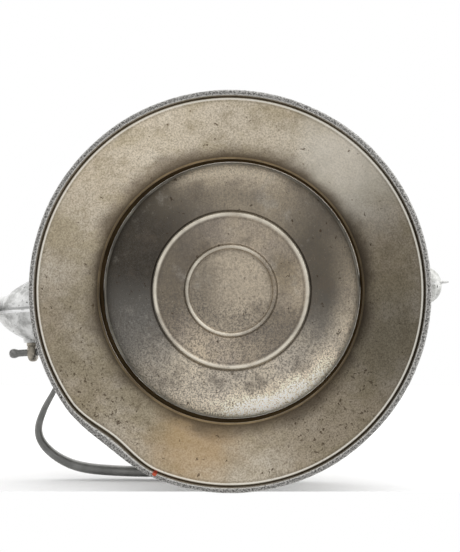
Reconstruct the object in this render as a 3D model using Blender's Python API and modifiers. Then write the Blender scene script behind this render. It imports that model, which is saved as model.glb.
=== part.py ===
"""Stovetop flip waffle iron on a low cast base, with a lifting bail.

Frame: metres, +Z up, the foot rim stands on Z = 0. The plates' handles run along +X, their hinge
ball lies at -X, and the bail is folded down over the -Y side. The plates turn over about the flip
axis, a line along X at the height FLIP_Z.
"""
import math

import bmesh
import bpy
from mathutils import Matrix, Vector

# Driving dimensions (metres)
GAP = 0.0003
RING_X = -0.08395
FLIP_Z = 0.0500
BASE_HEIGHT = 0.0430

FOOT_R = 0.1170
LIP_R = 0.0791
COLLAR_R = 0.0886

FLANGE_R = 0.0823
FLANGE_THICK = 0.0062
PAN_R = 0.0780
GRID_R = 0.0725
GRID_DEPTH = 0.0110
GRID_PITCH = 0.0154
PEG_COUNT = 9
PEG_BASE = 0.0112
PEG_TOP = 0.0070
PEG_CLEAR = 0.0028

NECK_R = 0.0060
NECK_END_X = 0.1500
ARM_R = 0.0044
TANG_R = 0.0034
TANG_PEG_R = 0.0018
TANG_PEG_DEPTH = 0.0100
TANG_PEG_Z = -0.0030
TANG_IN_GRIP = 0.0140
BALL_X = -0.1130
BALL_R = 0.0063
KNUCKLE_HALF = 0.0026
HINGE_PIN_R = 0.0016

REST_TIP_X = 0.1483
REST_ROOT_X = 0.0840
SOCKET_CENTRE_X = -0.1160
SOCKET_RADII = (0.0125, 0.0124, 0.0130)
SOCKET_ARM_R = 0.0080
SOCKET_ARM_DROP = 0.0070
SPUR_TIP_X = -0.1326
SPUR_Z = 0.0455
SPUR_R = 0.0021
SPUR_TIP_R = 0.0006
DRAIN_OUT = 0.0070
DRAIN_IN = 0.0020
LOBE_Y = -0.0050
BOSS_R = 0.0066
BOSS_END_R = 0.0050
BOSS_FACE_Y = -0.0240

BRACKET_FACE_R = 0.0925
BRACKET_HALF_WIDTH = 0.0245
BRACKET_HEIGHT = 0.0130
SCREW_SPREAD = math.radians(11.5)
SCREW_Z = 0.0362
SCREW_R = 0.0017
SCREW_HEAD_R = 0.0036
SCREW_DOME = 0.0022
SCREW_LENGTH = 0.0070
SEAT_DEPTH = 0.0004

BAIL_Y = -0.0304
BAIL_Z = 0.0460
BAIL_PIN_R = 0.0022
HANDLE_EYE_X = 0.1268
HINGE_EYE_X = -0.1060
EYE_R = 0.0058
EYE_THICK = 0.0050
STUD_R = 0.0024
STUD_DEPTH = 0.0060

GRIP_START_X = 0.1760
GRIP_END_X = 0.2930
GRIP_R = 0.0122
GRIP_WAIST_R = 0.0098
GRIP_OFFSET = 0.0138
TIE_ROD_R = 0.0024
NUT_LENGTH = 0.0072

RING_STEPS = 76
PLATE_STEPS = 54

LIGHT_IRON = (0.36, 0.33, 0.28, 1.0)
DARK_IRON = (0.16, 0.15, 0.14, 1.0)
CAST_GREY = (0.46, 0.46, 0.44, 1.0)
STEEL = (0.50, 0.49, 0.46, 1.0)
WOOD = (0.16, 0.075, 0.035, 1.0)


def clear_scene():
    for old in list(bpy.data.objects):
        bpy.data.objects.remove(old, do_unlink=True)


def make_collection(name):
    collection = bpy.data.collections.new(name)
    bpy.context.scene.collection.children.link(collection)
    return collection


def make_material(name, colour, roughness, metallic):
    material = bpy.data.materials.new(name)
    material.use_nodes = True
    shader = material.node_tree.nodes["Principled BSDF"]
    shader.inputs["Base Color"].default_value = colour
    shader.inputs["Roughness"].default_value = roughness
    shader.inputs["Metallic"].default_value = metallic
    return material


def link_part(obj, material):
    """Put an object among the parts, with its own material and smooth round faces."""
    if obj.name not in PARTS.objects:
        PARTS.objects.link(obj)
    obj.data.materials.clear()
    obj.data.materials.append(material)
    obj.data.shade_smooth()
    obj.data.set_sharp_from_angle(angle=math.radians(35))
    return obj


def link_cutter(obj):
    """Keep an operand of a Boolean out of the built object."""
    CUTTERS.objects.link(obj)
    obj.hide_render = True
    obj.display_type = "WIRE"
    return obj


def new_object(name, bm):
    mesh = bpy.data.meshes.new(name)
    bm.to_mesh(mesh)
    bm.free()
    return bpy.data.objects.new(name, mesh)


def lathe(name, profile, steps, axis="Z"):
    """Turn a profile of (radius, height) points, outer side top to bottom, about an axis."""
    bm = bmesh.new()
    verts = [bm.verts.new((radius, 0.0, height)) for radius, height in profile]
    for first, second in zip(verts, verts[1:]):
        bm.edges.new((first, second))
    if profile[0][0] > 1e-6:
        bm.edges.new((verts[-1], verts[0]))
    obj = new_object(name, bm)
    screw = obj.modifiers.new("Turn", "SCREW")
    screw.axis = "Z"
    screw.angle = math.tau
    screw.steps = steps
    screw.render_steps = steps
    screw.use_merge_vertices = True
    screw.merge_threshold = 0.00001
    screw.use_smooth_shade = True
    if axis == "X":
        obj.rotation_euler = (0.0, math.pi / 2, 0.0)
    if axis == "-X":
        obj.rotation_euler = (0.0, -math.pi / 2, 0.0)
    if axis == "-Y":
        obj.rotation_euler = (math.pi / 2, 0.0, 0.0)
    return obj


def box(name, low, high):
    """A box between two corners."""
    bm = bmesh.new()
    bmesh.ops.create_cube(bm, size=1.0)
    size = Vector(high) - Vector(low)
    centre = (Vector(high) + Vector(low)) / 2
    bmesh.ops.scale(bm, vec=size, verts=bm.verts)
    bmesh.ops.translate(bm, vec=centre, verts=bm.verts)
    return new_object(name, bm)


def rod(name, start, end, radius, end_radius=None, sides=24):
    """A round bar, or a cone, between two points."""
    start = Vector(start)
    end = Vector(end)
    run = end - start
    bm = bmesh.new()
    bmesh.ops.create_cone(
        bm,
        cap_ends=True,
        segments=sides,
        radius1=radius,
        radius2=radius if end_radius is None else end_radius,
        depth=run.length,
    )
    turn = Vector((0.0, 0.0, 1.0)).rotation_difference(run.normalized()).to_matrix().to_4x4()
    bmesh.ops.transform(bm, matrix=Matrix.Translation((start + end) / 2) @ turn, verts=bm.verts)
    return new_object(name, bm)


def ellipsoid(name, centre, radii, segments=32, rings=16):
    bm = bmesh.new()
    bmesh.ops.create_uvsphere(bm, u_segments=segments, v_segments=rings, radius=1.0)
    bmesh.ops.scale(bm, vec=radii, verts=bm.verts)
    bmesh.ops.rotate(bm, matrix=Matrix.Rotation(math.pi / 2, 3, "Y"), verts=bm.verts)
    bmesh.ops.translate(bm, vec=centre, verts=bm.verts)
    return new_object(name, bm)


def wire(name, points, radii, sides_resolution):
    """A bent bar with a radius for each point, as a closed mesh."""
    curve = bpy.data.curves.new(name, "CURVE")
    curve.dimensions = "3D"
    curve.bevel_depth = 1.0
    curve.bevel_resolution = sides_resolution
    curve.use_fill_caps = True
    spline = curve.splines.new("POLY")
    spline.points.add(len(points) - 1)
    for spot, place, radius in zip(spline.points, points, radii):
        spot.co = (*place, 1.0)
        spot.radius = radius
    guide = bpy.data.objects.new(name + "_guide", curve)
    CUTTERS.objects.link(guide)
    bpy.context.view_layer.update()
    evaluated = guide.evaluated_get(bpy.context.evaluated_depsgraph_get())
    mesh = bpy.data.meshes.new_from_object(evaluated)
    bm = bmesh.new()
    bm.from_mesh(mesh)
    bmesh.ops.remove_doubles(bm, verts=bm.verts, dist=0.00001)
    bm.to_mesh(mesh)
    bm.free()
    obj = bpy.data.objects.new(name, mesh)
    obj.matrix_world = guide.matrix_world
    bpy.data.objects.remove(guide, do_unlink=True)
    return obj


def combine(obj, other, operation, follow=False):
    """Join, cut or intersect an object with a hidden operand, which may share its frame."""
    link_cutter(other)
    if follow:
        other.parent = obj
    boolean = obj.modifiers.new(operation.title(), "BOOLEAN")
    boolean.operation = operation
    boolean.solver = "EXACT"
    boolean.object = other


def from_ring(x, y, z):
    """A point stated from the ring's own axis."""
    return (RING_X + x, y, z)


def polar(radius, angle, z):
    return from_ring(radius * math.cos(angle), radius * math.sin(angle), z)


def arc_points(centre, radius, start, end, count):
    """Points of (radius, height) along an arc, angles in degrees."""
    points = []
    for index in range(count + 1):
        angle = math.radians(start + (end - start) * index / count)
        points.append((centre[0] + radius * math.cos(angle), centre[1] + radius * math.sin(angle)))
    return points


def smooth_step(value):
    value = min(max(value, 0.0), 1.0)
    return value * value * (3 - 2 * value)


# ---------------------------------------------------------------- base ring

# The ring's section, down the outer side, over the foot and up the inner side
COLLAR_OUTSIDE = [(0.0876, BASE_HEIGHT), (COLLAR_R, 0.0420), (0.0850, 0.0275)]
SKIRT_OUTSIDE = [(0.0855, 0.0240), (0.0884, 0.0208), (0.1110, 0.0078), (0.1146, 0.0080)]
FOOT_BEAD = [(0.1165, 0.0069), (FOOT_R, 0.0048), (0.1166, 0.0020), (0.1155, 0.0)]
FOOT_INSIDE = [(0.1139, 0.0), (0.1133, 0.0008), (0.1129, 0.0032), (0.1122, 0.0041)]
GROOVE_EDGE = [(0.1112, 0.0033), (0.1102, 0.0034)]
SKIRT_INSIDE = [(0.1055, 0.0062), (0.0960, 0.0120), (0.0855, 0.0179)]
LIP = [(0.0820, 0.0204), (0.0798, 0.0232), (LIP_R, 0.0258)]
COLLAR_INSIDE = [(0.0812, 0.0330), (0.0829, BASE_HEIGHT)]
RING_OUTSIDE = COLLAR_OUTSIDE + SKIRT_OUTSIDE
RING_SECTION = RING_OUTSIDE + FOOT_BEAD + FOOT_INSIDE + GROOVE_EDGE + SKIRT_INSIDE + LIP + COLLAR_INSIDE

# A knock has flattened the foot rim on the handle side of the bail
DENT_ANGLE = math.radians(-48)
DENT_HALF_WIDTH = math.radians(17)
DENT_RIM_PUSH = 0.0022
DENT_EDGE_PUSH = 0.0046


def dent(obj):
    """Push the foot rim inward over a short stretch, its inner edge further than its bead."""
    evaluated = obj.evaluated_get(bpy.context.evaluated_depsgraph_get())
    mesh = bpy.data.meshes.new_from_object(evaluated)
    obj.modifiers.clear()
    obj.data = mesh
    for vertex in mesh.vertices:
        place = vertex.co
        radius = math.hypot(place.x, place.y)
        angle = math.atan2(place.y, place.x)
        along = 1 - abs(angle - DENT_ANGLE) / DENT_HALF_WIDTH
        inner_fade = smooth_step((radius - 0.095) / 0.014)
        edge_share = smooth_step((0.1160 - radius) / 0.004)
        push = DENT_RIM_PUSH + (DENT_EDGE_PUSH - DENT_RIM_PUSH) * edge_share
        shift = push * smooth_step(along) * inner_fade
        place.x -= shift * math.cos(angle)
        place.y -= shift * math.sin(angle)


def screw_places(side):
    """Where the two screws of a bracket enter the collar: side is +1 at the handle, -1 opposite."""
    middle = 0.0 if side > 0 else math.pi
    return [middle + sign * SCREW_SPREAD for sign in (-1, 1)]


def build_base_ring():
    ring = lathe("base_ring", RING_SECTION, RING_STEPS)
    PARTS.objects.link(ring)
    bpy.context.view_layer.update()
    dent(ring)
    ring.location = from_ring(0.0, 0.0, 0.0)
    for side in (1, -1):
        for angle in screw_places(side):
            inner = polar(COLLAR_R - 0.0044, angle, SCREW_Z)
            outer = polar(BRACKET_FACE_R, angle, SCREW_Z)
            hole = rod("ring_screw_hole", inner, outer, SCREW_R + GAP, sides=16)
            combine(ring, hole, "DIFFERENCE")
    return link_part(ring, make_material("tarnished_iron", LIGHT_IRON, 0.45, 0.9))


def ring_envelope(name):
    """The ring's outside and the room above it for the turning plates, a gap larger all round."""
    above = 2 * BASE_HEIGHT
    below = -0.0100
    profile = [(0.0, above), (COLLAR_R + GAP, above)]
    profile += [(radius + GAP, z) for radius, z in RING_OUTSIDE[1:]]
    profile += [(FOOT_R, below), (0.0, below)]
    envelope = lathe(name, profile, RING_STEPS)
    envelope.location = from_ring(0.0, 0.0, 0.0)
    return envelope


def bracket_plate(name, side):
    """The curved plate of a bracket against the collar."""
    bm = bmesh.new()
    bmesh.ops.create_cone(
        bm,
        cap_ends=True,
        segments=RING_STEPS,
        radius1=BRACKET_FACE_R,
        radius2=BRACKET_FACE_R,
        depth=BRACKET_HEIGHT,
    )
    plate = new_object(name, bm)
    plate.location = from_ring(0.0, 0.0, SCREW_Z)
    near, far = sorted((side * (COLLAR_R - 0.0100), side * (BRACKET_FACE_R + 0.0100)))
    low = from_ring(near, -BRACKET_HALF_WIDTH, 0.0)
    high = from_ring(far, BRACKET_HALF_WIDTH, 2 * BASE_HEIGHT)
    combine(plate, box(name + "_window", low, high), "INTERSECT")
    return plate


def cut_bracket_screws(bracket, side):
    for angle in screw_places(side):
        inner = polar(COLLAR_R - 0.0100, angle, SCREW_Z)
        seat = polar(BRACKET_FACE_R - SEAT_DEPTH, angle, SCREW_Z)
        far = polar(FOOT_R, angle, SCREW_Z)
        hole = rod("bracket_screw_hole", inner, far, SCREW_R + GAP, sides=16)
        combine(bracket, hole, "DIFFERENCE")
        room = rod("bracket_seat", seat, far, SCREW_HEAD_R + GAP, sides=20)
        combine(bracket, room, "DIFFERENCE")


# ------------------------------------------------- handle rest and ball socket


def rest_radius(x):
    """Half the width of the cradle at a distance x from the ring's axis."""
    tip = math.sqrt(0.0175 * max(REST_TIP_X - x, 0.0))
    root = 0.0110 + 0.0130 * smooth_step((x - 0.0900) / 0.0380)
    return min(tip, root)


def build_handle_rest():
    """Half an egg along X that the handle neck lies in, tapering to the collar."""
    length = REST_TIP_X - REST_ROOT_X
    stations = [REST_TIP_X - length * (step / 18) ** 1.6 for step in range(19)]
    profile = [(rest_radius(x), x) for x in stations]
    profile.append((0.0, REST_ROOT_X))
    egg = lathe("handle_rest", profile, 32, axis="X")
    egg.location = from_ring(0.0, LOBE_Y, FLIP_Z)
    combine(egg, upper_half_room("rest_top", 1), "DIFFERENCE")
    add_boss(egg, "rest_boss", HANDLE_EYE_X)
    face_start = from_ring(HANDLE_EYE_X, BOSS_FACE_Y - 0.0001, BAIL_Z)
    face_end = from_ring(HANDLE_EYE_X, BOSS_FACE_Y - 0.0200, BAIL_Z)
    combine(egg, rod("rest_spot_face", face_start, face_end, EYE_R + 0.0004), "DIFFERENCE")
    combine(egg, bracket_plate("rest_plate", 1), "UNION")
    combine(egg, ring_envelope("rest_envelope"), "DIFFERENCE")
    channel_start = from_ring(LIP_R, 0.0, FLIP_Z)
    channel_end = from_ring(REST_TIP_X + 0.0100, 0.0, FLIP_Z)
    channel = rod("rest_channel", channel_start, channel_end, NECK_R + GAP, sides=32)
    combine(egg, channel, "DIFFERENCE")
    cut_stud_hole(egg, "rest_stud_hole", HANDLE_EYE_X, 20)
    cut_bracket_screws(egg, 1)
    return link_part(egg, make_material("cast_grey_rest", CAST_GREY, 0.5, 0.8))


def upper_half_room(name, side):
    """The room above the flip axis, which keeps a bracket to a lower half."""
    near, far = sorted((side * GRID_R, side * (REST_TIP_X + 0.0100)))
    low = from_ring(near, -FOOT_R / 2, FLIP_Z - GAP)
    high = from_ring(far, FOOT_R / 2, 2 * FLIP_Z)
    return box(name, low, high)


def add_boss(bracket, name, x):
    """The tapered boss that an eye's stud enters."""
    start = from_ring(x, LOBE_Y - 0.0060, BAIL_Z)
    end = from_ring(x, BOSS_FACE_Y, BAIL_Z)
    combine(bracket, rod(name, start, end, BOSS_R, BOSS_END_R), "UNION")


def cut_stud_hole(bracket, name, x, sides):
    start = from_ring(x, BOSS_FACE_Y - 0.0010, BAIL_Z)
    end = from_ring(x, BOSS_FACE_Y + STUD_DEPTH, BAIL_Z)
    combine(bracket, rod(name, start, end, STUD_R + GAP, sides=sides), "DIFFERENCE")


def build_ball_socket():
    """A half bowl under the hinge ball, thick on the side of its boss, with a spur outward.

    A hole through its floor lets crumbs out and clears the arm of a plate that hangs open.
    """
    centre = from_ring(SOCKET_CENTRE_X, LOBE_Y, FLIP_Z)
    socket = ellipsoid("ball_socket", centre, SOCKET_RADII)
    arm_start = from_ring(-COLLAR_R + 0.0066, -0.0010, FLIP_Z - SOCKET_ARM_DROP)
    arm_end = from_ring(BALL_X + 0.0010, -0.0010, FLIP_Z - SOCKET_ARM_DROP)
    combine(socket, rod("socket_arm", arm_start, arm_end, SOCKET_ARM_R), "UNION")
    spur_start = from_ring(SOCKET_CENTRE_X - 0.0040, LOBE_Y + 0.0012, SPUR_Z)
    spur_end = from_ring(SPUR_TIP_X, LOBE_Y + 0.0012, SPUR_Z)
    combine(socket, rod("socket_spur", spur_start, spur_end, SPUR_R, SPUR_TIP_R), "UNION")
    add_boss(socket, "socket_boss", HINGE_EYE_X)
    combine(socket, upper_half_room("socket_top", -1), "DIFFERENCE")
    combine(socket, bracket_plate("socket_plate", -1), "UNION")
    combine(socket, ring_envelope("socket_envelope"), "DIFFERENCE")
    ball = from_ring(BALL_X, 0.0, FLIP_Z)
    hollow = BALL_R + GAP
    combine(socket, ellipsoid("socket_hollow", ball, (hollow, hollow, hollow), 26, 16), "DIFFERENCE")
    channel_end = from_ring(-LIP_R, 0.0, FLIP_Z)
    channel = rod("socket_channel", ball, channel_end, ARM_R + GAP, sides=32)
    combine(socket, channel, "DIFFERENCE")
    drain_low = from_ring(BALL_X - DRAIN_OUT, -ARM_R - GAP, 0.0)
    drain_high = from_ring(BALL_X + DRAIN_IN, ARM_R + GAP, FLIP_Z)
    combine(socket, box("socket_drain", drain_low, drain_high), "DIFFERENCE")
    cut_stud_hole(socket, "socket_stud_hole", HINGE_EYE_X, 18)
    cut_bracket_screws(socket, -1)
    return link_part(socket, make_material("cast_grey_socket", CAST_GREY, 0.5, 0.8))


def build_screws():
    """Two slotted round-head screws for each bracket, along the collar's radius."""
    for side, label in ((1, "rest"), (-1, "socket")):
        for number, angle in enumerate(screw_places(side), start=1):
            name = f"{label}_screw_{number}"
            profile = [(0.0, SCREW_DOME), (0.0018, 0.0019), (0.0030, 0.0011), (SCREW_HEAD_R, 0.0)]
            profile += [(SCREW_R, 0.0), (SCREW_R, -SCREW_LENGTH), (0.0, -SCREW_LENGTH)]
            screw = lathe(name, profile, 16)
            outward = Vector((math.cos(angle), math.sin(angle), 0.0))
            screw.rotation_mode = "QUATERNION"
            screw.rotation_quaternion = Vector((0.0, 0.0, 1.0)).rotation_difference(outward)
            screw.location = polar(BRACKET_FACE_R - SEAT_DEPTH + GAP, angle, SCREW_Z)
            slot = box(name + "_slot", (-0.0004, -0.0060, 0.0012), (0.0004, 0.0060, 0.0030))
            slot.rotation_mode = "QUATERNION"
            slot.rotation_quaternion = screw.rotation_quaternion
            slot.location = screw.location
            combine(screw, slot, "DIFFERENCE")
            link_part(screw, make_material(name + "_steel", DARK_IRON, 0.5, 0.9))


def build_eye(name, x):
    """A ring round the bail's end, on a shank with a stud that enters the boss."""
    half = EYE_THICK / 2
    bore = BAIL_PIN_R + GAP
    profile = [(bore, half), (EYE_R - 0.0012, half), (EYE_R - 0.0003, half - 0.0007)]
    profile += [(EYE_R, half - 0.0017), (EYE_R, -half + 0.0017), (EYE_R - 0.0003, -half + 0.0007)]
    profile += [(EYE_R - 0.0012, -half), (bore, -half)]
    eye = lathe(name, profile, 20, axis="X")
    eye.location = from_ring(x, BAIL_Y, BAIL_Z)
    shank_start = from_ring(x, BOSS_FACE_Y - GAP, BAIL_Z)
    shank_end = from_ring(x, BAIL_Y + bore + 0.0015, BAIL_Z)
    shank = rod(name + "_shank", shank_start, shank_end, 0.0034)
    combine(eye, shank, "UNION")
    stud_start = from_ring(x, BOSS_FACE_Y + STUD_DEPTH - 0.0006, BAIL_Z)
    stud_end = from_ring(x, BAIL_Y + bore + 0.0020, BAIL_Z)
    combine(eye, rod(name + "_stud", stud_start, stud_end, STUD_R, sides=20), "UNION")
    return link_part(eye, make_material(name + "_iron", DARK_IRON, 0.55, 0.85))


# -------------------------------------------------------------------- bail


def catmull(points, steps):
    """A smooth curve through a list of (place, radius) stations."""
    result = []
    last = len(points) - 1
    for index in range(last):
        before = points[max(index - 1, 0)]
        first = points[index]
        second = points[index + 1]
        after = points[min(index + 2, last)]
        for step in range(steps):
            t = step / steps
            blend = []
            for a, b, c, d in zip(before, first, second, after):
                curve = 2 * b + (c - a) * t
                curve += (2 * a - 5 * b + 4 * c - d) * t * t
                curve += (3 * b - a - 3 * c + d) * t ** 3
                blend.append(curve / 2)
            result.append(blend)
    result.append(list(points[last]))
    return result


def upset_head():
    """The rounded head at each end of the bail: (distance from its middle, radius)."""
    dome = [(0.0029, 0.0012), (0.0024, 0.0022), (0.0012, 0.0029)]
    return dome + [(-0.0004, 0.0030), (-0.0018, 0.0026), (-0.0028, BAIL_PIN_R)]


def build_bail():
    """One bar from eye to eye; each station is (x from the ring's axis, y, radius)."""
    run_y = -FOOT_R + 0.0065
    stations = [
        (0.1160, BAIL_Y, BAIL_PIN_R),
        (0.1070, BAIL_Y - 0.0010, BAIL_PIN_R),
        (0.1045, BAIL_Y - 0.0060, 0.0019),
        (0.1090, BAIL_Y - 0.0130, 0.0017),
        (0.1147, -0.0546, 0.0016),
        (0.1222, -0.0665, 0.0020),
        (0.1266, -0.0785, 0.00235),
        (0.1238, -0.0885, 0.0027),
        (0.1140, -0.0978, 0.0030),
        (0.1005, -0.1038, 0.0033),
        (0.0800, -0.1072, 0.00335),
        (0.0500, -0.1096, 0.00335),
        (0.0190, run_y, 0.00335),
        (-0.0150, -0.1096, 0.00335),
        (-0.0430, -0.1062, 0.0033),
        (-0.0620, -0.0992, 0.0031),
        (-0.0750, -0.0900, 0.0028),
        (-0.0826, -0.0800, 0.0024),
        (-0.0880, -0.0670, 0.0020),
        (-0.0916, -0.0510, 0.0017),
        (-0.0938, -0.0390, 0.0018),
        (-0.0950, -0.0325, 0.0020),
        (-0.0985, BAIL_Y, BAIL_PIN_R),
    ]
    smooth = catmull(stations, 3)
    head_handle = HANDLE_EYE_X + 0.0118
    head_hinge = HINGE_EYE_X - 0.0064
    start = [(head_handle + dx, BAIL_Y, radius) for dx, radius in upset_head()]
    finish = [(head_hinge - dx, BAIL_Y, radius) for dx, radius in reversed(upset_head())]
    route = start + smooth + finish
    points = [(x - HANDLE_EYE_X, y - BAIL_Y, 0.0) for x, y, _ in route]
    radii = [radius for _, _, radius in route]
    bail = wire("bail", points, radii, 2)
    bail.location = from_ring(HANDLE_EYE_X, BAIL_Y, BAIL_Z)
    return link_part(bail, make_material("bail_steel", STEEL, 0.4, 0.9))


# ------------------------------------------------------------------ plates


def plate_section():
    """Half of the plate's section from its face at the joint plane to its back."""
    face = [(0.0, -GRID_DEPTH), (GRID_R - 0.0014, -GRID_DEPTH), (GRID_R, -GAP / 2)]
    flange = [(FLANGE_R - 0.0004, -GAP / 2), (FLANGE_R, -0.0005), (FLANGE_R, -FLANGE_THICK + 0.0004)]
    flange += [(FLANGE_R - 0.0004, -FLANGE_THICK), (PAN_R + 0.0012, -FLANGE_THICK - 0.0003)]
    wall = [(PAN_R + 0.0003, -FLANGE_THICK - 0.0008)]
    wall += arc_points((PAN_R - 0.0034, -0.0106), 0.0034, 0, -76, 4)
    outer_step = [(0.0487, -0.0150), (0.0476, -0.0156), (0.0467, -0.0163), (0.0455, -0.0166)]
    inner_step = [(0.0284, -0.0168), (0.0274, -0.0177), (0.0263, -0.0177), (0.0252, -0.0167)]
    return face + flange + wall + outer_step + inner_step + [(0.0, -0.0170)]


def waffle_pegs(name):
    """The pegs that press the waffle's pits, rooted a little below the plate's floor."""
    root = 0.0010
    tall = GRID_DEPTH - PEG_CLEAR + root
    bm = bmesh.new()
    bmesh.ops.create_cone(
        bm,
        cap_ends=True,
        segments=4,
        radius1=PEG_BASE / math.sqrt(2),
        radius2=PEG_TOP / math.sqrt(2),
        depth=tall,
    )
    bmesh.ops.rotate(bm, matrix=Matrix.Rotation(math.pi / 4, 3, "Z"), verts=bm.verts)
    height = tall / 2 - GRID_DEPTH - root
    first = -GRID_PITCH * (PEG_COUNT - 1) / 2
    bmesh.ops.translate(bm, vec=(first, first, height), verts=bm.verts)
    pegs = new_object(name, bm)
    for axis in range(2):
        array = pegs.modifiers.new("Row", "ARRAY")
        array.count = PEG_COUNT
        array.use_relative_offset = False
        array.use_constant_offset = True
        offset = [0.0, 0.0, 0.0]
        offset[axis] = GRID_PITCH
        array.constant_offset_displace = offset
    inside = GRID_R - 0.0040
    disc = rod(name + "_disc", (0.0, 0.0, -0.02), (0.0, 0.0, 0.02), inside, sides=64)
    combine(pegs, disc, "INTERSECT", follow=True)
    return pegs


def build_plate(name, colour, side):
    """A plate drawn with its joint plane up; side is -1 for the lower plate, +1 for the upper."""
    plate = lathe(name, plate_section(), PLATE_STEPS)
    combine(plate, waffle_pegs(name + "_pegs"), "UNION", follow=True)
    for label, end_x, radius in (("neck", NECK_END_X, NECK_R), ("arm", BALL_X + 0.0040, ARM_R)):
        start = (math.copysign(PAN_R - 0.0022, end_x), 0.0, 0.0)
        bar = rod(f"{name}_{label}", start, (end_x, 0.0, 0.0), radius, radius - 0.0004, sides=26)
        below = box(f"{name}_{label}_half", (-0.20, -0.03, -0.05), (0.25, 0.03, -GAP))
        combine(bar, below, "INTERSECT", follow=True)
        combine(plate, bar, "UNION", follow=True)
    peg_start = (NECK_END_X - TANG_PEG_DEPTH, 0.0, TANG_PEG_Z)
    peg_end = (NECK_END_X + 0.0050, 0.0, TANG_PEG_Z)
    peg_hole = rod(name + "_tang_hole", peg_start, peg_end, TANG_PEG_R + GAP, sides=16)
    combine(plate, peg_hole, "DIFFERENCE", follow=True)
    build_knuckle(plate, name, side)
    pin_start = (BALL_X, -2 * BALL_R, 0.0)
    pin_end = (BALL_X, 2 * BALL_R, 0.0)
    pin_hole = rod(name + "_pin_hole", pin_start, pin_end, HINGE_PIN_R + GAP, sides=20)
    combine(plate, pin_hole, "DIFFERENCE", follow=True)
    return link_part(plate, make_material(name + "_iron", colour, 0.4, 0.9))


def build_knuckle(plate, name, side):
    """The ball's two cheeks on the lower plate, or the leaf between them on the upper one."""
    hinge = (BALL_X, 0.0, 0.0)
    ball = ellipsoid(name + "_ball", hinge, (BALL_R, BALL_R, BALL_R), 22, 14)
    clear = BALL_R + GAP
    if side < 0:
        combine(plate, ball, "UNION", follow=True)
        half = KNUCKLE_HALF + GAP
        slot = box(name + "_slot", (BALL_X - 0.02, -half, -0.02), (BALL_X + clear, half, 0.02))
        combine(plate, slot, "DIFFERENCE", follow=True)
        return
    room = ellipsoid(name + "_room", hinge, (clear, clear, clear), 22, 14)
    combine(plate, room, "DIFFERENCE", follow=True)
    slab = box(name + "_slab", (-0.20, -KNUCKLE_HALF, -0.02), (0.0, KNUCKLE_HALF, 0.02))
    combine(ball, slab, "INTERSECT", follow=True)
    combine(plate, ball, "UNION", follow=True)
    web_low = (BALL_X + 0.0040, -KNUCKLE_HALF + 0.0001, -ARM_R + 0.0008)
    web_high = (BALL_X + clear + 0.0030, KNUCKLE_HALF - 0.0001, -GAP / 2)
    combine(plate, box(name + "_web", web_low, web_high), "UNION", follow=True)


def build_hinge_pin():
    half = BALL_R - 0.0006
    pin = rod("hinge_pin", (0.0, -half, 0.0), (0.0, half, 0.0), HINGE_PIN_R, sides=20)
    return link_part(pin, make_material("hinge_pin_steel", STEEL, 0.35, 0.95))


# ------------------------------------------------------------------ handles


def build_tang(label, side):
    """A forged bar: a peg in the neck's end, then a bend outward to the grip's axis."""
    name = label + "_tang"
    stations = [
        (NECK_END_X - TANG_PEG_DEPTH + GAP, TANG_PEG_Z, TANG_PEG_R),
        (NECK_END_X + GAP, TANG_PEG_Z, TANG_PEG_R),
        (NECK_END_X + GAP + 0.0004, TANG_PEG_Z, 0.0026),
        (0.1530, -0.0046, 0.0031),
        (0.1558, -0.0078, TANG_R),
        (0.1588, -0.0110, TANG_R),
        (0.1625, -0.0132, TANG_R),
        (0.1665, -GRIP_OFFSET, TANG_R),
        (GRIP_START_X + TANG_IN_GRIP, -GRIP_OFFSET, TANG_R),
    ]
    points = [(x, 0.0, -side * z) for x, z, _ in stations]
    tang = wire(name, points, [radius for *_, radius in stations], 3)
    hole_start = (GRIP_START_X + 0.0020, 0.0, side * GRIP_OFFSET)
    hole_end = (GRIP_START_X + TANG_IN_GRIP + 0.0100, 0.0, side * GRIP_OFFSET)
    hole = rod(name + "_rod_hole", hole_start, hole_end, TIE_ROD_R + GAP, sides=16)
    combine(tang, hole, "DIFFERENCE", follow=True)
    return link_part(tang, make_material(name + "_steel", DARK_IRON, 0.5, 0.9))


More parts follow.
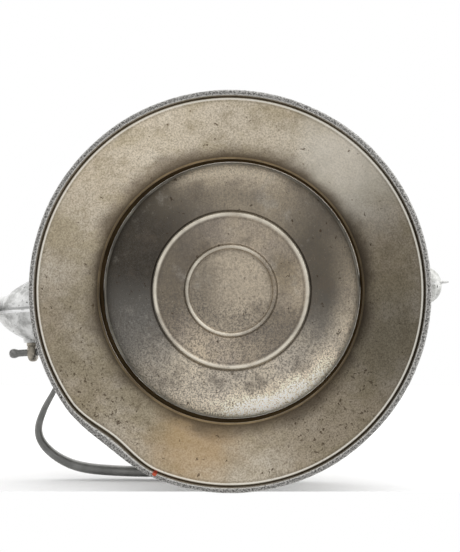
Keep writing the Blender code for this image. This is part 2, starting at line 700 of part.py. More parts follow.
def build_handle(label, side):
    """Tang, ferrule, turned grip, tie rod and end nut of one plate."""
    hole = TIE_ROD_R + GAP
    tang_hole = TANG_R + GAP
    ferrule_profile = [(tang_hole, 0.0), (0.0062, 0.0), (0.0074, -0.0008), (0.0086, -0.0040)]
    ferrule_profile += [(0.0094, -0.0110), (0.0094, -0.0190), (0.0086, -0.0190)]
    ferrule_profile += [(0.0086, -0.0080), (tang_hole, -0.0080)]
    ferrule = lathe(label + "_ferrule", ferrule_profile, 22, axis="-X")
    ferrule_x = GRIP_START_X - 0.0083
    grip_length = GRIP_END_X - GRIP_START_X
    grip_profile = [(tang_hole, 0.0), (0.0078, 0.0), (0.0083, -0.0004), (0.0083, -0.0108)]
    grip_profile.append((GRIP_WAIST_R, -0.0112))
    for step in range(1, 8):
        share = step / 8
        belly = GRIP_WAIST_R + (GRIP_R - GRIP_WAIST_R) * math.sin(math.pi * share) ** 0.7
        grip_profile.append((belly, -0.0112 - share * (grip_length - 0.0170)))
    grip_profile += [(GRIP_WAIST_R, -grip_length + 0.0040), (0.0086, -grip_length + 0.0012)]
    grip_profile += [(0.0070, -grip_length), (hole, -grip_length)]
    grip_profile += [(hole, -TANG_IN_GRIP - 0.0010), (tang_hole, -TANG_IN_GRIP - 0.0010)]
    grip = lathe(label + "_grip", grip_profile, 22, axis="-X")
    rod_start = (GRIP_START_X + 0.0024, 0.0, 0.0)
    rod_end = (GRIP_END_X + 0.0040, 0.0, 0.0)
    tie_rod = rod(label + "_tie_rod", rod_start, rod_end, TIE_ROD_R, sides=16)
    nut_profile = [(0.0, 0.0), (0.0024, -0.0005), (0.0044, -0.0020), (0.0056, -0.0046)]
    nut_profile += [(0.0056, -NUT_LENGTH), (hole, -NUT_LENGTH), (hole, -0.0030), (0.0, -0.0030)]
    nut = lathe(label + "_end_nut", nut_profile, 18, axis="X")
    nut_x = GRIP_END_X + GAP + NUT_LENGTH
    centre_z = side * GRIP_OFFSET
    pieces = [
        (ferrule, ferrule_x, "ferrule_steel", STEEL, 0.35, 0.9),
        (grip, GRIP_START_X, "grip_wood", WOOD, 0.5, 0.0),
        (tie_rod, 0.0, "tie_rod_steel", DARK_IRON, 0.5, 0.9),
        (nut, nut_x, "end_nut_steel", STEEL, 0.35, 0.9),
    ]
    for piece, x, look, colour, roughness, metallic in pieces:
        piece.location = (x, 0.0, centre_z)
        link_part(piece, make_material(label + "_" + look, colour, roughness, metallic))
    return [build_tang(label, side)] + [piece for piece, *_ in pieces]


def make_empty(name, location):
    empty = bpy.data.objects.new(name, None)
    empty.location = location
    PARTS.objects.link(empty)
    return empty


def assemble():
    """Place the pieces: the plates and handles hang on the flip axis, the upper ones on the hinge."""
    build_base_ring()
    build_handle_rest()
    build_ball_socket()
    build_screws()
    build_eye("handle_side_eye", HANDLE_EYE_X)
    build_eye("hinge_side_eye", HINGE_EYE_X)
    build_bail()
    flip_axis = make_empty("flip_axis", from_ring(0.0, 0.0, FLIP_Z))
    hinge_axis = make_empty("plate_hinge_axis", (BALL_X, 0.0, 0.0))
    hinge_axis.parent = flip_axis
    lower = build_plate("lower_plate", LIGHT_IRON, -1)
    lower.parent = flip_axis
    upper = build_plate("upper_plate", DARK_IRON, 1)
    upper.rotation_euler = (math.pi, 0.0, 0.0)
    upper.location = (-BALL_X, 0.0, 0.0)
    upper.parent = hinge_axis
    pin = build_hinge_pin()
    pin.parent = hinge_axis
    for piece in build_handle("lower", -1):
        piece.parent = flip_axis
    for piece in build_handle("upper", 1):
        piece.parent = hinge_axis
        piece.location.x -= BALL_X


clear_scene()
PARTS = make_collection("waffle_iron")
CUTTERS = make_collection("cutters")
assemble()
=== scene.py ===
import math

import bmesh
import bpy
from mathutils import Matrix, Vector, noise


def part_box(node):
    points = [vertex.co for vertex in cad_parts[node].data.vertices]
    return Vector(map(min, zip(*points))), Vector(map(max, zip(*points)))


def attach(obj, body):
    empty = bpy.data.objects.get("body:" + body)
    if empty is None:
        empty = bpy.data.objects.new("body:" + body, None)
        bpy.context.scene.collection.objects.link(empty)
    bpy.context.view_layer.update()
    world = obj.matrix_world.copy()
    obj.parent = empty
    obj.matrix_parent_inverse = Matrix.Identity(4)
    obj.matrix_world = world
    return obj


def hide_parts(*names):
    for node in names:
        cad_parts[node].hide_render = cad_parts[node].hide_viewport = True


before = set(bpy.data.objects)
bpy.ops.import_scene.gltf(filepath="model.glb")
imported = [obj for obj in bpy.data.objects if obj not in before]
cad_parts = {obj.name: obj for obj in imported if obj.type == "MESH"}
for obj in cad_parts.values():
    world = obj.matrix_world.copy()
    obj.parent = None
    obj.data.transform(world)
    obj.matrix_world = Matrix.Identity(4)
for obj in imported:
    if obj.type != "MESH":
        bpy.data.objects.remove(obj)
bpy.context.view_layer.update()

# The ring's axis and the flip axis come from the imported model
ring_low, ring_high = (Vector(corner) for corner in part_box("base_ring"))
pin_low, pin_high = (Vector(corner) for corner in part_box("hinge_pin"))
FOOT_R = (ring_high.y - ring_low.y) / 2
RING_AXIS = Vector((ring_low.x + FOOT_R, 0.0, ring_low.z))
FLIP_Z = (pin_low.z + pin_high.z) / 2

# Camera: looks up at the underside, with the -Y side lowest and the handles to the left
CAMERA_DISTANCE = 0.6175
CAMERA_LENS = 70.0
CAMERA_TILT = math.radians(-0.35)
CAMERA_SWING = math.radians(3.0)
CAMERA_ROLL = math.radians(3.9)
CENTRE_ABOVE = 0.0092
CENTRE_ASIDE = 0.0012

# Creases sharper than this stay sharp when a piece is shaded smooth
SHARP_ANGLE = math.radians(48)
RING_SEGMENTS = 288
PLATE_SEGMENTS = 256


# ------------------------------------------------------------ node materials


class Look:
    """A procedural material, written as short steps on one node tree."""

    def __init__(self, name):
        self.material = bpy.data.materials.new(name)
        self.material.use_nodes = True
        self.tree = self.material.node_tree
        self.shader = self.tree.nodes["Principled BSDF"]
        self.place = self.add("ShaderNodeTexCoord").outputs["Object"]
        self.normal = self.add("ShaderNodeNewGeometry").outputs["Normal"]

    def add(self, kind, **settings):
        node = self.tree.nodes.new(kind)
        for key, value in settings.items():
            setattr(node, key, value)
        return node

    def feed(self, socket, value):
        if isinstance(value, bpy.types.NodeSocket):
            self.tree.links.new(value, socket)
        else:
            socket.default_value = value

    def vector(self, operation, first, second=(0.0, 0.0, 0.0), output=0):
        node = self.add("ShaderNodeVectorMath", operation=operation)
        self.feed(node.inputs[0], first)
        self.feed(node.inputs[1], second)
        return node.outputs[output]

    def math(self, operation, first, second=0.0):
        node = self.add("ShaderNodeMath", operation=operation)
        self.feed(node.inputs[0], first)
        self.feed(node.inputs[1], second)
        return node.outputs[0]

    def axis(self, vector, name):
        node = self.add("ShaderNodeSeparateXYZ")
        self.feed(node.inputs[0], vector)
        return node.outputs[name]

    def noise(self, scale, detail=3.0, roughness=0.55, stretch=(1.0, 1.0, 1.0), seed=0.0):
        node = self.add("ShaderNodeTexNoise", noise_dimensions="4D")
        self.feed(node.inputs["Vector"], self.vector("MULTIPLY", self.place, stretch))
        node.inputs["W"].default_value = seed
        node.inputs["Scale"].default_value = scale
        node.inputs["Detail"].default_value = detail
        node.inputs["Roughness"].default_value = roughness
        return node.outputs["Fac"]

    def ramp(self, value, low, high, start=0.0, end=1.0):
        node = self.add("ShaderNodeMapRange", clamp=True, interpolation_type="SMOOTHSTEP")
        self.feed(node.inputs["Value"], value)
        node.inputs["From Min"].default_value = low
        node.inputs["From Max"].default_value = high
        node.inputs["To Min"].default_value = start
        node.inputs["To Max"].default_value = end
        return node.outputs["Result"]

    def band(self, value, low, high, soft):
        """1 between two values, with soft edges."""
        rise = self.ramp(value, low - soft, low + soft)
        fall = self.ramp(value, high - soft, high + soft, 1.0, 0.0)
        return self.times(rise, fall)

    def mix(self, factor, first, second):
        node = self.add("ShaderNodeMix", data_type="RGBA")
        self.feed(node.inputs["Factor"], factor)
        self.feed(node.inputs[6], first)
        self.feed(node.inputs[7], second)
        return node.outputs[2]

    def radius(self, centre):
        """The distance from the upright axis through a point."""
        offset = self.vector("SUBTRACT", self.place, centre)
        flat = self.vector("MULTIPLY", offset, (1.0, 1.0, 0.0))
        return self.vector("LENGTH", flat, output="Value")

    def lobe(self, angle, half_width):
        """1 toward one side of the ring's axis, 0 from half_width on; degrees from -X by way of +Y."""
        turn = math.radians(angle) - CAMERA_ROLL
        way = (-math.cos(turn), math.sin(turn), 0.0)
        offset = self.vector("SUBTRACT", self.place, tuple(RING_AXIS))
        reach = self.math("MAXIMUM", self.radius(tuple(RING_AXIS)), LOBE_CORE)
        along = self.math("DIVIDE", self.vector("DOT_PRODUCT", offset, way, "Value"), reach)
        return self.ramp(along, math.cos(math.radians(half_width)), 1.0)

    def shaded(self, colour, lobes):
        """Scale a colour by painted light and shade: a factor on each side named by (angle, half width,
        factor).
        """
        shade = None
        for angle, half_width, factor in lobes:
            lobe = self.times(self.lobe(angle, half_width), factor - 1.0)
            term = self.math("ADD", lobe, 1.0)
            shade = term if shade is None else self.times(shade, term)
        node = self.add("ShaderNodeVectorMath", operation="SCALE")
        self.feed(node.inputs[0], colour)
        self.feed(node.inputs["Scale"], shade)
        return node.outputs[0]

    def stored(self, name):
        """A value kept on the mesh's points."""
        return self.add("ShaderNodeAttribute", attribute_name=name).outputs["Fac"]

    def spot(self, x, y, size, ragged=0.35, seed=0.0):
        """A soft patch at a place measured from the ring's axis, with a ragged edge."""
        centre = (RING_AXIS.x + x, RING_AXIS.y + y, 0.0)
        wander = self.times(self.noise(60.0, 4.0, 0.6, seed=seed), 2 * ragged * size)
        reach = self.math("ADD", self.radius(centre), self.math("SUBTRACT", wander, ragged * size))
        return self.ramp(reach, 0.25 * size, size, 1.0, 0.0)

    def times(self, *factors):
        result = factors[0]
        for factor in factors[1:]:
            result = self.math("MULTIPLY", result, factor)
        return result

    def cover(self, colour, mask, over, strength=1.0):
        """Lay one colour over another where a mask is above 0."""
        return self.mix(self.times(mask, strength), colour, over)

    def finish(self, colour, roughness, metallic, height, bump_distance):
        self.feed(self.shader.inputs["Base Color"], colour)
        self.feed(self.shader.inputs["Roughness"], roughness)
        self.feed(self.shader.inputs["Metallic"], metallic)
        bump = self.add("ShaderNodeBump")
        bump.inputs["Distance"].default_value = bump_distance
        self.feed(bump.inputs["Height"], height)
        self.feed(self.shader.inputs["Normal"], bump.outputs["Normal"])
        return self.material


def tone(red, green, blue):
    return (red, green, blue, 1.0)


def grey(value):
    return tone(value, value, value)


# The ring's tones
SKIRT_TAN = tone(0.44, 0.37, 0.275)
SKIRT_PALE = tone(0.50, 0.44, 0.35)
SKIRT_OLIVE = tone(0.30, 0.25, 0.15)
SKIRT_BUFF = tone(0.56, 0.51, 0.43)
SKIRT_BROWN = tone(0.25, 0.205, 0.135)
SKIRT_GRAIN_DARK = tone(0.14, 0.115, 0.075)
SKIRT_GRAIN_PALE = tone(0.62, 0.57, 0.48)
SKIRT_PALE_PATCH = tone(0.55, 0.53, 0.48)
SKIRT_RUST = tone(0.40, 0.25, 0.10)
SKIRT_SPECK = tone(0.07, 0.042, 0.02)
SKIRT_GAP_SHADE = tone(0.085, 0.062, 0.038)
LIP_BROWN = tone(0.44, 0.34, 0.20)
EDGE_SHADOW = tone(0.12, 0.10, 0.07)
EDGE_HIGHLIGHT = tone(0.90, 0.87, 0.79)
GROOVE_SHADE = tone(0.08, 0.06, 0.035)
RIM_DARK = tone(0.06, 0.057, 0.052)
RIM_PALE = tone(0.46, 0.45, 0.43)
CHAMFER_HIGHLIGHT = tone(0.70, 0.69, 0.66)
OUTSIDE_DARK = tone(0.20, 0.20, 0.19)
OUTSIDE_PALE = tone(0.38, 0.38, 0.36)
DROP_RED = tone(0.52, 0.095, 0.045)

# The ring's zones, as radii from its axis
LIP_END = (0.0797, 0.0801)
GAP_SHADE_END = (0.0800, 0.0898)
EDGE_SHADOW_LINE = (0.1098, 0.1106)
EDGE_HIGHLIGHT_LINE = (0.1109, 0.1121)
GROOVE_SHADE_LINE = (0.1123, 0.1130)
CHAMFER_HIGHLIGHT_LINE = (0.1131, 0.1138)
RIM_START = (0.1130, 0.1134)
COLLAR_START = (0.0843, 0.0849)
COLLAR_FOOT = (0.0215, 0.0235)
DROP_RADIUS = 0.1136
DROP_ANGLE = 248.0

# A plate back's tones
OUTER_TAN = tone(0.32, 0.27, 0.20)
OUTER_DIM = tone(0.24, 0.205, 0.16)
OUTER_SILVER_REFLECTION = tone(0.46, 0.46, 0.44)
MIDDLE_TAN = tone(0.58, 0.485, 0.36)
MIDDLE_DIM = tone(0.43, 0.365, 0.295)
CENTRE_TAN = tone(0.67, 0.57, 0.435)
CENTRE_DIM = tone(0.54, 0.46, 0.355)
BACK_OLIVE = tone(0.24, 0.18, 0.08)
BRUISE_DARK = tone(0.15, 0.12, 0.09)
BRUISE_PALE = tone(0.60, 0.56, 0.49)
BRUSHED_DARK = tone(0.13, 0.115, 0.10)
SHOULDER_CREAM_HIGHLIGHT = tone(0.74, 0.64, 0.49)
CRUST_DARK = tone(0.12, 0.10, 0.08)
FLECK_DARK = tone(0.12, 0.11, 0.10)
FLECK_GLINT = tone(0.85, 0.83, 0.78)
BACK_SPECK = tone(0.06, 0.04, 0.025)
RIDGE_HIGHLIGHT = tone(0.86, 0.80, 0.68)
RIDGE_SHADOW = tone(0.11, 0.09, 0.07)
SHOULDER_HIGHLIGHT = tone(0.92, 0.87, 0.77)
WALL_BROWN = tone(0.16, 0.105, 0.05)

# A plate back's zones, as radii from the ring's axis
CENTRE_END = (0.0245, 0.0262)
INNER_RIDGE = (0.0257, 0.0276)
MIDDLE_END = (0.0458, 0.0478)
OUTER_RIDGE = (0.0455, 0.0479)
RIDGE_SHADOWS = [(0.0240, 0.0250), (0.0486, 0.0496), (0.0438, 0.0447)]
# Where the outer zone's stronger painted light and shade by side fades in
OUTER_PAINTED_LIGHT_FADE = (0.0580, 0.0750)
CREAM_HIGHLIGHT_BAND = (0.0705, 0.0762)
SHOULDER_HIGHLIGHT_LINE = (0.0767, 0.0784)
WALL_START = (0.0784, 0.0788)

# Painted light and shade: the sides on which a zone is painted lighter or darker: angle, half width,
# factor
SKIRT_PAINTED_SHADING = [
    (0.0, 48.0, 0.54), (90.0, 75.0, 1.38), (135.0, 45.0, 1.12), (208.0, 48.0, 0.74),
    (325.0, 48.0, 0.66),
]
OUTER_PAINTED_SHADING = [
    (165.0, 62.0, 0.20), (280.0, 75.0, 3.7), (235.0, 45.0, 1.1), (70.0, 40.0, 1.25),
    (5.0, 60.0, 0.45),
]
EDGE_PAINTED_SHADING = [(315.0, 65.0, 2.8), (90.0, 34.0, 2.2), (5.0, 35.0, 2.0), (270.0, 40.0, 1.25)]
MIDDLE_PAINTED_SHADING = [
    (165.0, 75.0, 0.42), (245.0, 45.0, 1.35), (335.0, 50.0, 0.6), (0.0, 28.0, 1.5),
    (30.0, 25.0, 0.85),
]
CENTRE_PAINTED_SHADING = [(180.0, 85.0, 0.6)]
# Inside this radius a lobe fades out, so that none of them meets in a point at the axis
LOBE_CORE = 0.018

# A cast bracket's mould seam, by Y: its painted shadow line and its ridge, painted as a highlight; and
# where a plate's neck takes on the bracket's tone, by X
SEAM_SHADOW = (-0.0026, -0.0012)
SEAM_RIDGE = (-0.0046, -0.0032)
NECK_START = (RING_AXIS.x + 0.105, RING_AXIS.x + 0.115)


def cast_iron(name, pale, dark, roughness, seam=0.0, neck=None):
    """Cast metal: cloudy tone, grain, dark pits, a mould seam with a painted shadow and a painted
    highlight, and a neck of another tone.
    """
    look = Look(name)
    grain = look.noise(700.0, 4.0, 0.6)
    cloud = look.noise(110.0, 5.0, 0.65, seed=1.0)
    pits = look.ramp(look.noise(420.0, 2.0, seed=2.0), 0.62, 0.72)
    colour = look.mix(look.ramp(cloud, 0.38, 0.62), dark, pale)
    colour = look.cover(colour, pits, grey(0.03), 0.8)
    if neck is not None:
        along = look.axis(look.place, "X")
        colour = look.cover(colour, look.ramp(along, *NECK_START), neck)
    across = look.axis(look.place, "Y")
    # The seam: a painted shadow beside it and a painted highlight on its ridge
    shadow = look.times(look.band(across, *SEAM_SHADOW, 0.0003), look.ramp(cloud, 0.4, 0.55))
    colour = look.cover(colour, shadow, grey(0.16), 0.6 * seam)
    ridge = look.times(look.band(across, *SEAM_RIDGE, 0.0003), seam)
    colour = look.cover(colour, ridge, grey(0.9))
    rough = look.ramp(grain, 0.3, 0.7, roughness - 0.1, roughness + 0.12)
    height = look.math("ADD", look.math("SUBTRACT", grain, look.times(pits, 0.6)), ridge)
    return look.finish(colour, rough, 0.8, height, 0.00025)


def skirt_specks(look):
    """Dark specks, thick in two patches and few elsewhere."""
    fine = look.ramp(look.noise(330.0, 3.0, 0.7, seed=8.0), 0.59, 0.64)
    handle_patch = look.spot(0.0917, -0.0660, 0.055, seed=7.0)
    hinge_patch = look.spot(-0.0600, -0.0800, 0.060, seed=7.5)
    crowd = look.math("MAXIMUM", handle_patch, hinge_patch)
    few = look.ramp(look.noise(260.0, 3.0, 0.7, seed=9.0), 0.645, 0.69)
    return look.math("MAXIMUM", look.times(fine, crowd), few)


def ring_look():
    """Tarnished skirt inside, painted lighter and darker by side, with painted shade toward the gap and
    in the thin groove and painted highlights at its edges; rough foot rim; hazy grey outside.
    """
    look = Look("base_ring_iron")
    radius = look.stored("turned_radius")
    upward = look.axis(look.normal, "Z")
    level = look.axis(look.place, "Z")
    grain = look.noise(1000.0, 4.0, 0.7)
    cloud = look.noise(16.0, 4.0, 0.6, seed=3.0)
    mottle = look.noise(75.0, 6.0, 0.7, seed=4.0)
    stain = look.noise(30.0, 5.0, 0.65, stretch=(0.8, 1.3, 1.0), seed=24.0)
    specks = skirt_specks(look)
    skirt = look.mix(look.ramp(cloud, 0.4, 0.6), SKIRT_TAN, SKIRT_PALE)
    skirt = look.cover(skirt, look.ramp(stain, 0.44, 0.6, 0.0, 0.55), SKIRT_OLIVE)
    skirt = look.cover(skirt, look.ramp(stain, 0.32, 0.44, 0.45, 0.0), SKIRT_BUFF)
    skirt = look.cover(skirt, look.ramp(mottle, 0.48, 0.68, 0.0, 0.6), SKIRT_BROWN)
    skirt = look.cover(skirt, look.ramp(grain, 0.42, 0.62, 0.0, 0.5), SKIRT_GRAIN_DARK)
    skirt = look.cover(skirt, look.ramp(grain, 0.30, 0.42, 0.32, 0.0), SKIRT_GRAIN_PALE)
    # A paler patch on the skirt's upper right
    skirt = look.cover(skirt, look.spot(-0.0715, 0.0629, 0.050, seed=5.0), SKIRT_PALE_PATCH, 0.5)
    skirt = look.cover(skirt, look.spot(0.0260, -0.0870, 0.034, seed=6.0), SKIRT_RUST, 0.5)
    skirt = look.cover(skirt, specks, SKIRT_SPECK, 0.8)
    # Painted shade: the skirt darkens toward the gap by the plates, its reach wandering with the stains
    wander = look.times(look.math("SUBTRACT", stain, 0.5), 0.022)
    gap_shade = look.ramp(look.math("ADD", radius, wander), *GAP_SHADE_END, 0.85, 0.0)
    skirt = look.cover(skirt, gap_shade, SKIRT_GAP_SHADE)
    lip = look.times(look.ramp(radius, *LIP_END, 1.0, 0.0), look.ramp(mottle, 0.4, 0.6, 0.4, 0.8))
    skirt = look.cover(skirt, lip, LIP_BROWN)
    # Painted light and shade by side
    skirt = look.shaded(skirt, SKIRT_PAINTED_SHADING)
    # A painted shadow line and a painted highlight line along the skirt's edge by the groove
    skirt = look.cover(skirt, look.band(radius, *EDGE_SHADOW_LINE, 0.0004), EDGE_SHADOW, 0.3)
    skirt = look.cover(skirt, look.band(radius, *EDGE_HIGHLIGHT_LINE, 0.0002), EDGE_HIGHLIGHT, 0.76)
    # Painted shade in the groove
    skirt = look.cover(skirt, look.band(radius, *GROOVE_SHADE_LINE, 0.0002), GROOVE_SHADE, 0.8)
    chips = look.noise(980.0, 4.0, 0.75, seed=10.0)
    rim = look.mix(look.ramp(chips, 0.40, 0.60), RIM_DARK, RIM_PALE)
    # Painted highlight along the bevel inside the foot rim, broken up by the rim's chips
    chamfer_highlight = look.times(look.band(radius, *CHAMFER_HIGHLIGHT_LINE, 0.0002), look.ramp(chips, 0.3, 0.5))
    rim = look.cover(rim, chamfer_highlight, CHAMFER_HIGHLIGHT, 0.7)
    on_rim = look.ramp(radius, *RIM_START)
    colour = look.mix(on_rim, skirt, rim)
    outside = look.mix(look.ramp(mottle, 0.4, 0.6), OUTSIDE_DARK, OUTSIDE_PALE)
    collar = look.times(look.ramp(level, *COLLAR_FOOT), look.ramp(radius, *COLLAR_START))
    above = look.math("MAXIMUM", look.ramp(upward, -0.1, 0.15), collar)
    colour = look.cover(colour, above, outside, 0.9)
    turn = math.radians(DROP_ANGLE) - CAMERA_ROLL
    drop_x = -DROP_RADIUS * math.cos(turn)
    drop_y = DROP_RADIUS * math.sin(turn)
    drop = look.spot(drop_x, drop_y, 0.0018, 0.6, seed=23.0)
    colour = look.cover(colour, look.ramp(drop, 0.2, 0.6), DROP_RED)
    rough = look.ramp(grain, 0.3, 0.7, 0.34, 0.56)
    height = look.math("ADD", look.times(grain, 0.45), look.times(chips, on_rim, 1.6))
    height = look.math("SUBTRACT", height, look.times(specks, 0.5))
    return look.finish(colour, rough, 0.75, height, 0.0003)


def plate_back_look():
    """Plate back: stained zones between ridges with painted highlights, painted light and shade by
    side, and a painted silvery reflection below.
    """
    look = Look("plate_back_iron")
    radius = look.radius(RING_AXIS)
    brushing = look.noise(420.0, 3.0, 0.6, stretch=(4.0, 0.35, 1.0), seed=11.0)
    grain = look.noise(1050.0, 4.0, 0.75, seed=12.0)
    cloud = look.noise(34.0, 5.0, 0.65, seed=13.0)
    outer = look.mix(look.ramp(cloud, 0.35, 0.65), OUTER_TAN, OUTER_DIM)
    # Painted light and shade by side, with more of it toward the outer edge
    outer = look.shaded(outer, OUTER_PAINTED_SHADING)
    outer = look.mix(look.ramp(radius, *OUTER_PAINTED_LIGHT_FADE), outer, look.shaded(outer, EDGE_PAINTED_SHADING))
    # Painted reflection: silvery toward the lower sides
    silver_reflection = look.math("MAXIMUM", look.lobe(278.0, 95.0), look.lobe(225.0, 60.0))
    outer = look.cover(outer, silver_reflection, OUTER_SILVER_REFLECTION, 0.35)
    middle = look.mix(look.ramp(cloud, 0.35, 0.65), MIDDLE_TAN, MIDDLE_DIM)
    # Painted light and shade by side
    middle = look.shaded(middle, MIDDLE_PAINTED_SHADING)
    centre = look.mix(look.ramp(cloud, 0.3, 0.7), CENTRE_TAN, CENTRE_DIM)
    # Painted shade on the left side
    centre = look.shaded(centre, CENTRE_PAINTED_SHADING)
    colour = look.mix(look.ramp(radius, *MIDDLE_END), middle, outer)
    colour = look.mix(look.ramp(radius, *CENTRE_END, 1.0, 0.0), colour, centre)
    colour = look.cover(colour, look.spot(-0.0340, 0.0080, 0.016, seed=14.0), BACK_OLIVE, 0.45)
    bruise = look.noise(48.0, 5.0, 0.7, seed=25.0)
    colour = look.cover(colour, look.ramp(bruise, 0.5, 0.68, 0.0, 0.55), BRUISE_DARK)
    colour = look.cover(colour, look.ramp(bruise, 0.3, 0.44, 0.35, 0.0), BRUISE_PALE)
    colour = look.cover(colour, look.ramp(brushing, 0.4, 0.62, 0.0, 0.12), BRUSHED_DARK)
    # Painted highlight: a creamy band inside the plate's rounded edge, on the upper side
    cream_highlight = look.times(look.band(radius, *CREAM_HIGHLIGHT_BAND, 0.002), look.lobe(93.0, 30.0))
    colour = look.cover(colour, cream_highlight, SHOULDER_CREAM_HIGHLIGHT, 0.85)
    crust = look.noise(620.0, 4.0, 0.7, seed=26.0)
    colour = look.cover(colour, look.ramp(crust, 0.46, 0.64, 0.0, 0.28), CRUST_DARK)
    # The grain's dark flecks and painted glints are strongest where the painted reflection is
    depth = look.ramp(silver_reflection, 0.0, 1.0, 0.40, 0.75)
    colour = look.cover(colour, look.times(look.ramp(grain, 0.44, 0.60), depth), FLECK_DARK)
    # Painted glints on the grain
    glints = look.times(look.ramp(grain, 0.28, 0.40, 1.0, 0.0), depth)
    colour = look.cover(colour, glints, FLECK_GLINT, 0.6)
    specks = look.ramp(look.noise(240.0, 3.0, 0.7, seed=17.0), 0.645, 0.68)
    colour = look.cover(colour, specks, BACK_SPECK, 0.75)
    # Painted highlights on the ridges and the plate's rounded edge, patchy, and on the inner ridge only
    # on some sides
    highlight_patchiness = look.ramp(look.noise(60.0, 3.0, seed=22.0), 0.35, 0.6, 0.4, 0.9)
    inner_side = look.math("MAXIMUM", look.lobe(215.0, 160.0), look.lobe(110.0, 80.0))
    inner = look.times(look.band(radius, *INNER_RIDGE, 0.0007), inner_side)
    ridges = look.math("MAXIMUM", look.band(radius, *OUTER_RIDGE, 0.0008), inner)
    colour = look.cover(colour, look.times(ridges, highlight_patchiness), RIDGE_HIGHLIGHT)
    for line in RIDGE_SHADOWS:
        colour = look.cover(colour, look.band(radius, *line, 0.0005), RIDGE_SHADOW, 0.35)
    # Painted highlight along the plate's rounded edge at the wall
    shoulder_highlight = look.times(look.band(radius, *SHOULDER_HIGHLIGHT_LINE, 0.0005), highlight_patchiness)
    colour = look.cover(colour, shoulder_highlight, SHOULDER_HIGHLIGHT)
    colour = look.cover(colour, look.ramp(radius, *WALL_START), WALL_BROWN)
    rough = look.ramp(brushing, 0.3, 0.7, 0.28, 0.46)
    height = look.math("ADD", look.times(brushing, 0.15), look.times(grain, 0.7))
    return look.finish(colour, rough, 0.9, height, 0.00018)


def wood_look():
    """Dark turned wood with its grain along the grip."""
    look = Look("grip_wood")
    rings = look.noise(140.0, 4.0, 0.6, stretch=(0.12, 1.0, 1.0), seed=18.0)
    pores = look.ramp(look.noise(900.0, 2.0, stretch=(0.08, 1.0, 1.0), seed=19.0), 0.58, 0.70)
    colour = look.mix(look.ramp(rings, 0.35, 0.65), tone(0.075, 0.028, 0.011), tone(0.19, 0.082, 0.034))
    colour = look.cover(colour, pores, tone(0.03, 0.012, 0.006), 0.7)
    rough = look.ramp(rings, 0.3, 0.7, 0.38, 0.55)
    height = look.math("SUBTRACT", look.times(rings, 0.4), pores)
    return look.finish(colour, rough, 0.0, height, 0.0002)


def steel_look(name, pale, roughness):
    """Smooth worn steel with fine scratches and faint clouds."""
    look = Look(name)
    scratches = look.noise(500.0, 2.0, 0.5, stretch=(1.0, 1.0, 5.0), seed=20.0)
    cloud = look.noise(90.0, 4.0, 0.6, seed=21.0)
    dark = tone(*(channel * 0.72 for channel in pale[:3]))
    colour = look.mix(look.ramp(cloud, 0.35, 0.65), dark, pale)
    rough = look.ramp(scratches, 0.3, 0.7, roughness - 0.06, roughness + 0.08)
    return look.finish(colour, rough, 0.9, scratches, 0.0001)


# ------------------------------------------------------------ finer pieces


def add_piece(name, mesh, material, body, *replaced):
    """A visible piece that rides on a body and takes the place of the nodes it replaces."""
    obj = bpy.data.objects.new(name, mesh)
    bpy.context.scene.collection.objects.link(obj)
    mesh.materials.clear()
    mesh.materials.append(material)
    mesh.shade_smooth()
    mesh.set_sharp_from_angle(angle=SHARP_ANGLE)
    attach(obj, body)
    if replaced:
        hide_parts(*replaced)


def soften(points, rounds, closed):
    """Cut the corners of an outline until it is round (Chaikin's rule)."""
    for _ in range(rounds):
        following = points[1:] + points[:1] if closed else points[1:]
        result = [] if closed else [points[0]]
        for (r0, z0), (r1, z1) in zip(points, following):
            result.append((0.75 * r0 + 0.25 * r1, 0.75 * z0 + 0.25 * z1))
            result.append((0.25 * r0 + 0.75 * r1, 0.25 * z0 + 0.75 * z1))
        if not closed:
            result.append(points[-1])
        points = result
    return points


def turned_mesh(name, section, segments, closed):
    """Turn an outline of (radius, height) about the upright axis through the origin.

    An outline that isn't closed stays open at its first point and is capped at its last.
    """
    bm = bmesh.new()
    rings = []
    for radius, height in section:
        ring = []
        for index in range(segments):
            angle = math.tau * index / segments
            ring.append(bm.verts.new((radius * math.cos(angle), radius * math.sin(angle), height)))
        rings.append(ring)
    pairs = list(zip(rings, rings[1:]))
    if closed:
        pairs.append((rings[-1], rings[0]))
    for upper, lower in pairs:
        for index in range(segments):
            following = (index + 1) % segments
            bm.faces.new((upper[index], lower[index], lower[following], upper[following]))
    mouth = []
    if not closed:
        bm.faces.new(list(reversed(rings[-1])))
        mouth.append(bm.faces.new(rings[0]))
    # The normals are settled while the shape is whole
    bmesh.ops.recalc_face_normals(bm, faces=bm.faces)
    bmesh.ops.delete(bm, geom=mouth, context="FACES_ONLY")
    mesh = bpy.data.meshes.new(name)
    bm.to_mesh(mesh)
    bm.free()
    return mesh


def fade(value, start, end):
    """A smooth step from 0 at start to 1 at end."""
    share = min(max((value - start) / (end - start), 0.0), 1.0)
    return share * share * (3 - 2 * share)


# The ring's section, down the outer side, over the foot and up the inner side
RING_SECTION = [
    (0.0876, 0.0430), (0.0886, 0.0420), (0.0850, 0.0275), (0.0855, 0.0240), (0.0884, 0.0208),
    (0.1110, 0.0078), (0.1146, 0.0080), (0.1165, 0.0069), (0.1172, 0.0048), (0.1168, 0.0020),
    (0.1157, 0.0000), (0.1137, 0.0000), (0.1132, 0.0006), (0.1130, 0.0026), (0.1125, 0.0036),
    (0.1120, 0.0024), (0.1112, 0.0024), (0.1055, 0.0062), (0.0960, 0.0120), (0.0855, 0.0179),
    (0.0820, 0.0204), (0.0798, 0.0230), (0.0787, 0.0258), (0.0812, 0.0330), (0.0828, 0.0430),
]

# A knock has flattened the foot rim on the handle side of the bail
DENT_ANGLE = math.radians(-48)
DENT_HALF_WIDTH = math.radians(17)
DENT_RIM_PUSH = 0.0022
DENT_EDGE_PUSH = 0.0046
